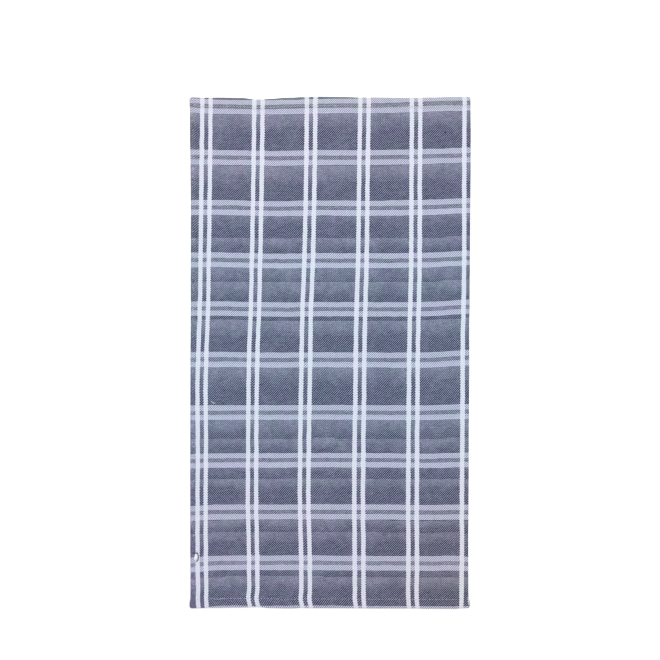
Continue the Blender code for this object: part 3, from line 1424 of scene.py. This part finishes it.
@dataclass
class HemStitching:
    """The lockstitch that holds one hem, with its upper and its under threads."""

    lay: Lay
    hem: Hem
    pitch: float = 4.6
    length: float = 3.3
    width: float = 0.75
    thickness: float = 0.45
    sink: float = 0.08              # how far the middle of a stitch is under the cloth's face
    bend: float = 0.10              # how far its ends dip
    margin: float = 2.4             # selvedge to the first stitch
    under_height: float = 0.13      # the under threads, pressed flatter against the floor
    under_flatness: float = 0.5
    sides: int = 10
    rings: int = 6
    colour: Colour = (0.40, 0.41, 0.58)

    def stitch_form(self) -> bpy.types.Mesh:
        """Makes one stitch.

        Returns:
            A long oval thread along X, with dipping ends.
        """
        mesh = bmesh.new()
        bmesh.ops.create_uvsphere(mesh, u_segments=self.sides, v_segments=self.rings, radius=0.5)
        turn = Matrix.Rotation(math.pi / 2.0, 3, "Y")
        bmesh.ops.rotate(mesh, matrix=turn, verts=mesh.verts[:])
        bmesh.ops.scale(mesh, vec=(self.length, self.width, self.thickness), verts=mesh.verts[:])
        for vertex in mesh.verts:
            vertex.co.z -= self.bend * (2.0 * vertex.co.x / self.length) ** 2
        return small_form("stitch", mesh)

    def build(self) -> bpy.types.Object:
        """Makes the stitching.

        Returns:
            All of the hem's stitches in one object.
        """
        row = self.hem.stitch_row()
        width = self.lay.outline.width(row.along)
        count = int((width - 2.0 * self.margin) / self.pitch)
        mesh = bmesh.new()
        form = self.stitch_form()
        half = self.length / 2.0 / width
        surface = Vector((0.0, 0.0, (self.hem.thickness / 2.0 - self.sink) * MM))
        along = Vector((0.0, 1.0, 0.0))
        flatter = Matrix.Diagonal((1.0, 1.0, self.under_flatness, 1.0))
        for number in range(count):
            share = (self.margin + self.pitch * (number + 0.5)) / width
            run = self.lay.point(share + half, row) - self.lay.point(share - half, row)
            stamp(mesh, form, axes(self.lay.point(share, row) + surface, run, along))
            beside = self.lay.point(share + self.pitch / 2.0 / width, row)
            beneath = Vector((beside.x, beside.y, self.under_height * MM))
            stamp(mesh, form, axes(beneath, Vector((run.x, run.y, 0.0)), along) @ flatter)
        bpy.data.meshes.remove(form)
        finish = SpunThread("sewing_thread", self.colour)
        made = new_piece(f"hem_stitching_{self.hem.end.name.lower()}", mesh, [finish.material()])
        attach(made, BODY)
        return made


class Strand(NamedTuple):
    """A loose yarn's radius, and its path as places across, along and above the cloth."""

    radius: float
    path: tuple[Spot, ...]


@dataclass
class StrayYarn:
    """Yarns that have pulled out of the weave, as one object."""

    name: str
    finish: SpunThread
    strands: tuple[Strand, ...]
    face_height: float = 0.85
    sides: int = 8
    steps: int = 5                  # rings between two points of a path
    thin_end: float = 0.35          # the share of its radius that a strand keeps at its ends
    taper: float = 0.8              # and how far in it is full, where 1 is to the path's next point

    def smooth_path(self, strand: Strand) -> list[Vector]:
        """Rounds a strand's path between its points.

        Args:
            strand: the strand.

        Returns:
            The places along it, in metres.
        """
        places = tuple(float(index) for index in range(len(strand.path)))
        lines = [SmoothLine(places, tuple(point[axis] for point in strand.path)) for axis in range(3)]
        count = (len(places) - 1) * self.steps
        spots = [index / self.steps for index in range(count + 1)]
        base = Vector((0.0, 0.0, self.face_height))
        return [(Vector([line.at(spot) for line in lines]) + base) * MM for spot in spots]

    def sweep(self, mesh: bmesh.types.BMesh, strand: Strand) -> None:
        """Sweeps a round yarn along a strand's path.

        Args:
            mesh: the mesh that grows.
            strand: the strand.
        """
        path = self.smooth_path(strand)
        last = len(path) - 1
        turn = Quaternion()
        facing = Vector((0.0, 0.0, 1.0))
        rings = []
        for index, spot in enumerate(path):
            heading = (path[min(index + 1, last)] - path[max(index - 1, 0)]).normalized()
            turn = facing.rotation_difference(heading) @ turn
            facing = heading
            fullness = ease(min(index, last - index) / (self.steps * self.taper))
            size = strand.radius * MM * (self.thin_end + (1.0 - self.thin_end) * fullness)
            rings.append(Matrix.Translation(spot) @ turn.to_matrix().to_4x4() @ Matrix.Scale(size, 4))
        made = bmesh.ops.create_circle(
            mesh, cap_ends=True, segments=self.sides, radius=1.0, matrix=rings[0]
        )
        cap = made["verts"][0].link_faces[0]
        for before, after in zip(rings, rings[1:]):
            grown = bmesh.ops.extrude_face_region(mesh, geom=[cap])
            cap = next(item for item in grown["geom"] if isinstance(item, bmesh.types.BMFace))
            bmesh.ops.transform(mesh, matrix=after @ before.inverted(), verts=cap.verts[:])

    def build(self) -> bpy.types.Object:
        """Makes the strands.

        Returns:
            All of them in one object.
        """
        mesh = bmesh.new()
        for strand in self.strands:
            self.sweep(mesh, strand)
        bmesh.ops.recalc_face_normals(mesh, faces=mesh.faces[:])
        made = new_piece(self.name, mesh, [self.finish.material()])
        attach(made, BODY)
        return made


STRAYS = (
    StrayYarn("snag_loop", SpunThread("loose_navy_yarn", (0.17, 0.175, 0.29)), (
        Strand(0.32, (
            (-185.9, -273.9, -0.3), (-183.6, -273.1, 0.7), (-181.5, -273.7, 1.2), (-180.2, -275.6, 1.4),
            (-179.5, -278.4, 1.4), (-179.7, -281.4, 1.2), (-180.6, -283.5, 0.8), (-182.0, -285.0, -0.3),
        )),
        Strand(0.27, (
            (-185.4, -274.9, -0.3), (-183.4, -273.9, 0.5), (-181.9, -274.3, 0.9), (-180.9, -276.2, 1.1),
            (-180.3, -278.7, 1.1), (-180.5, -281.2, 0.9), (-181.3, -283.0, 0.5), (-182.4, -284.3, -0.3),
        )),
    )),
    # Dark strands where the loop goes into the cloth: the holes it left, which show the navy beneath,
    # darkened further with painted shadow
    StrayYarn("snag_holes_and_shadow", SpunThread("navy_yarn_and_painted_shadow", (0.020, 0.022, 0.050)), (
        Strand(0.85, ((-187.0, -273.2, -0.3), (-185.9, -273.9, 0.4), (-184.8, -274.8, -0.3))),
        Strand(0.75, ((-182.5, -273.2, 0.5), (-181.7, -273.8, 1.2), (-180.8, -274.9, 0.5))),
        Strand(0.75, ((-181.3, -283.4, -0.2), (-181.9, -284.5, 0.6), (-182.5, -285.6, -0.2))),
    )),
    StrayYarn("snag_puff", SpunThread("puffed_white_yarn", (0.84, 0.85, 0.94), groove_shade=0.10, wear=0.1), (
        Strand(0.66, (
            (-184.0, -274.9, -0.4), (-184.6, -277.4, 0.6), (-185.0, -280.6, 0.7), (-185.6, -283.8, -0.4),
        )),
        Strand(0.72, (
            (-183.2, -274.6, -0.4), (-183.4, -277.4, 1.0), (-183.7, -281.0, 0.9), (-184.3, -284.6, -0.4),
        )),
        Strand(0.66, (
            (-182.2, -275.0, -0.4), (-182.1, -277.4, 0.8), (-182.4, -280.8, 0.8), (-183.1, -284.0, -0.4),
        )),
    )),
    StrayYarn("loose_end", SpunThread("loose_grey_yarn", (0.42, 0.46, 0.62)), (
        Strand(0.42, (
            (-162.9, -65.4, -0.2), (-162.2, -67.1, 0.7), (-160.8, -68.5, 0.9), (-158.8, -69.2, 0.8),
            (-156.5, -69.6, 0.2),
        )),
        Strand(0.40, (
            (-162.4, -66.4, -0.2), (-160.8, -67.4, 0.6), (-158.6, -68.4, 0.6), (-156.9, -69.1, 0.2),
        )),
    )),
    StrayYarn("dark_slubs", SpunThread("bunched_dark_yarn", (0.016, 0.018, 0.038)), (
        Strand(0.70, ((-91.4, -145.7, -0.3), (-90.1, -145.3, 0.4), (-88.9, -145.9, -0.3))),
        Strand(0.75, ((156.3, 300.7, 0.0), (157.5, 301.3, 0.6), (158.8, 301.7, 0.0))),
    )),
    StrayYarn("slack_pick", SpunThread("slack_grey_yarn", (0.31, 0.33, 0.47)), (
        Strand(0.31, (
            (-159.4, -336.8, 1.2), (-156.2, -337.2, 1.9), (-152.0, -337.1, 2.0), (-148.0, -336.0, 1.8),
            (-144.2, -334.8, 1.1),
        )),
    )),
)


# Studio


@dataclass
class Studio:
    """The pale floor, the soft light and the camera above the towel."""

    floor_half: float = 3.0                                 # metres from here on
    sky: float = 1.02
    lamp_size: float = 2.0
    lamp_power: float = 21.0
    lamp_place: Spot = (0.0, 1.2, 1.8)
    lamp_tilt: float = -34.0
    camera_place: Spot = (-0.0002, 0.0311, 3.0)
    field: float = 0.9023                                   # what the picture takes in at the floor
    sensor: float = 36.0                                    # mm
    sharpness: float = 1.2                                  # the width of its pixels' blur

    def build(self) -> bpy.types.Object:
        """Makes the floor, the lights and the camera.

        Returns:
            The floor.
        """
        scene = bpy.context.scene
        scene.view_settings.view_transform = "Standard"
        scene.cycles.filter_width = self.sharpness
        mesh = bmesh.new()
        bmesh.ops.create_grid(mesh, x_segments=1, y_segments=1, size=self.floor_half)
        floor = new_piece("floor", mesh, [PaleFloor().material()])
        world = bpy.data.worlds.new("studio")
        world.use_nodes = True
        background = world.node_tree.nodes["Background"]
        background.inputs["Color"].default_value = (1.0, 1.0, 1.0, 1.0)
        background.inputs["Strength"].default_value = self.sky
        scene.world = world
        lamp = bpy.data.lights.new("softbox", "AREA")
        lamp.size = self.lamp_size
        lamp.energy = self.lamp_power
        lamp_object = bpy.data.objects.new("softbox", lamp)
        lamp_object.location = self.lamp_place
        lamp_object.rotation_euler = (math.radians(self.lamp_tilt), 0.0, 0.0)
        scene.collection.objects.link(lamp_object)
        camera = bpy.data.cameras.new("camera")
        camera.sensor_width = self.sensor
        camera.lens = self.sensor * self.camera_place[2] / self.field
        camera_object = bpy.data.objects.new("camera", camera)
        camera_object.location = self.camera_place
        scene.collection.objects.link(camera_object)
        scene.camera = camera_object
        return floor


def report(piece: bpy.types.Object) -> bpy.types.Object:
    """Logs a piece's size.

    Args:
        piece: the piece.

    Returns:
        The same piece.
    """
    LOG.info("%s: %d faces, %s mm", piece.name, len(piece.data.polygons),
             " x ".join(f"{side / MM:.1f}" for side in piece.dimensions))
    return piece


def main() -> None:
    """Builds the studio and the towel."""
    logging.basicConfig(level=logging.INFO, format="%(name)s: %(message)s")
    LOG.info("the frame has %s", ", ".join(sorted(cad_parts)))
    floor = Studio().build()
    lay = Lay()
    cloth_maker = TowelCloth(lay)
    cloth = report(cloth_maker.build())
    trims = [report(Selvedge(lay, side, cloth_maker.rows()).build()) for side in Side]
    trims += [report(HemStitching(lay, hem).build()) for hem in lay.hems.values()]
    trims += [report(stray.build()) for stray in STRAYS]
    cloth_maker.cut_size()


if __name__ == "__main__":
    main()
